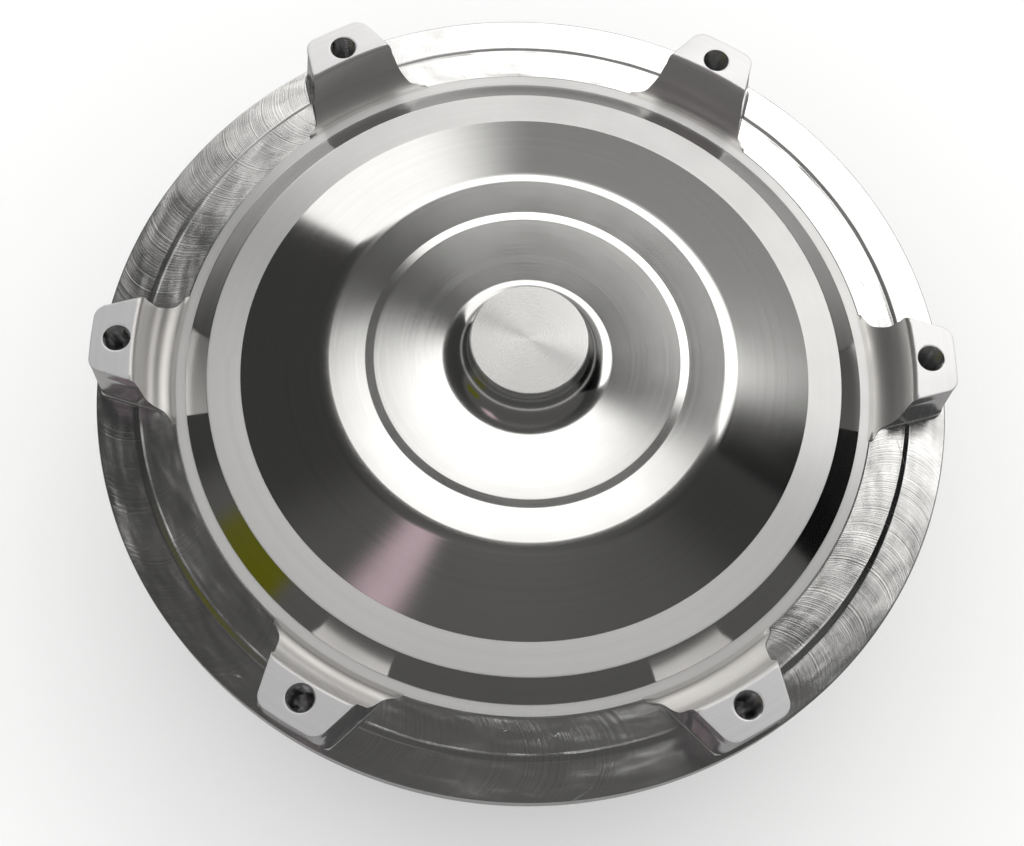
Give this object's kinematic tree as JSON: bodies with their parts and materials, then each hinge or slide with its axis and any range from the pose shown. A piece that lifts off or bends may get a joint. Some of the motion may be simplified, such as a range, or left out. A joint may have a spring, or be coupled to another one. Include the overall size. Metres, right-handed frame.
{
  "type": "torque converter",
  "caption": "Lock-up torque converter with a machined billet front cover, a crank pilot and raised tapped flexplate lugs, and a slotted pump hub.",
  "frame": {"origin": "centre of the pump hub's end face, where the converter stands", "axes": "+Z along the shaft axis from the transmission side to the crank pilot; +X through one flexplate lug"},
  "size_m": [0.313, 0.313, 0.1757],
  "materials": {
    "turned_steel": "bright machined, fine turning lines",
    "brazed_steel": "satin, furnace brazed",
    "weld_metal": "rippled bead, light heat tint",
    "ground_steel": "ground",
    "pressed_steel": "satin, pressed and oiled",
    "rivet_steel": "upset heads, satin",
    "spring_steel": "dark oil-tempered wire",
    "friction_paper": "matte wet-friction paper",
    "seal_polymer": "smooth seal polymer",
    "cast_aluminium": "as cast",
    "cap_steel": "stamped, tumbled",
    "bearing_steel": "lapped, bright",
    "cage_steel": "stamped"
  },
  "bodies": {
    "housing": {"front_cover": "turned_steel", "closure_weld": "weld_metal", "impeller_shell": "brazed_steel", "impeller_blades": "brazed_steel", "impeller_core_ring": "brazed_steel", "impeller_hub": "ground_steel", "hub_weld": "weld_metal", "balance_weight": "pressed_steel", "front_bearing_cover_race": "bearing_steel", "rear_bearing_impeller_race": "bearing_steel"},
    "turbine": {"turbine_shell": "pressed_steel", "turbine_blades": "pressed_steel", "turbine_core_ring": "pressed_steel", "turbine_hub": "ground_steel", "turbine_rivets": "rivet_steel", "piston_seal": "seal_polymer", "damper_driven_ring": "pressed_steel", "front_bearing_turbine_race": "bearing_steel", "middle_bearing_turbine_race": "bearing_steel"},
    "damper": {"damper_drive_plate": "pressed_steel", "spring_retainer": "pressed_steel", "damper_rivets": "rivet_steel", "damper_springs": "spring_steel"},
    "piston": {"lockup_piston": "pressed_steel", "friction_lining": "friction_paper"},
    "stator_race": {"stator_inner_race": "ground_steel"},
    "stator": {"stator_wheel": "cast_aluminium", "clutch_outer_race": "ground_steel", "roller_springs": "spring_steel", "stator_front_cap": "cap_steel", "stator_rear_cap": "cap_steel", "stator_snap_ring": "spring_steel", "middle_bearing_stator_race": "bearing_steel", "rear_bearing_stator_race": "bearing_steel"},
    "rollers": {"clutch_rollers": "bearing_steel"},
    "front_needles": {"front_bearing_cage": "cage_steel", "front_bearing_needles": "bearing_steel"},
    "middle_needles": {"middle_bearing_cage": "cage_steel", "middle_bearing_needles": "bearing_steel"},
    "rear_needles": {"rear_bearing_cage": "cage_steel", "rear_bearing_needles": "bearing_steel"}
  },
  "joints": [
    {"name": "turbine_spin", "type": "hinge", "parent": "housing", "child": "turbine", "pos_m": [0, 0, 0.12], "axis": [0, 0, 1], "continuous": true},
    {"name": "damper_twist", "type": "hinge", "parent": "turbine", "child": "damper", "pos_m": [0, 0, 0.1325], "axis": [0, 0, 1], "range_deg": [-6.5, 6.5], "stiffness_Nm_per_rad": 600, "deforming": ["damper_springs"]},
    {"name": "lockup_apply", "type": "slide", "parent": "damper", "child": "piston", "axis": [0, 0, 1], "range_m": [0, 0.0012]},
    {"name": "stator_race_spin", "type": "hinge", "parent": "housing", "child": "stator_race", "pos_m": [0, 0, 0.08], "axis": [0, 0, 1], "continuous": true},
    {"name": "stator_freewheel", "type": "hinge", "parent": "stator_race", "child": "stator", "pos_m": [0, 0, 0.08], "axis": [0, 0, 1], "continuous": true},
    {"name": "roller_release", "type": "hinge", "parent": "stator", "child": "rollers", "pos_m": [0, 0, 0.08], "axis": [0, 0, 1], "range_deg": [-1.5, 0], "stiffness_Nm_per_rad": 2, "deforming": ["roller_springs"]},
    {"name": "front_needle_spin", "type": "hinge", "parent": "housing", "child": "front_needles", "pos_m": [0, 0, 0.148], "axis": [0, 0, 1], "continuous": true},
    {"name": "middle_needle_spin", "type": "hinge", "parent": "housing", "child": "middle_needles", "pos_m": [0, 0, 0.094], "axis": [0, 0, 1], "continuous": true},
    {"name": "rear_needle_spin", "type": "hinge", "parent": "housing", "child": "rear_needles", "pos_m": [0, 0, 0.066], "axis": [0, 0, 1], "continuous": true}
  ],
  "couplings": [
    {"joint": "front_needle_spin", "follows": "turbine_spin", "ratio": 0.5},
    {"joint": "rear_needle_spin", "follows": "stator_race_spin", "ratio": 0.5}
  ]
}
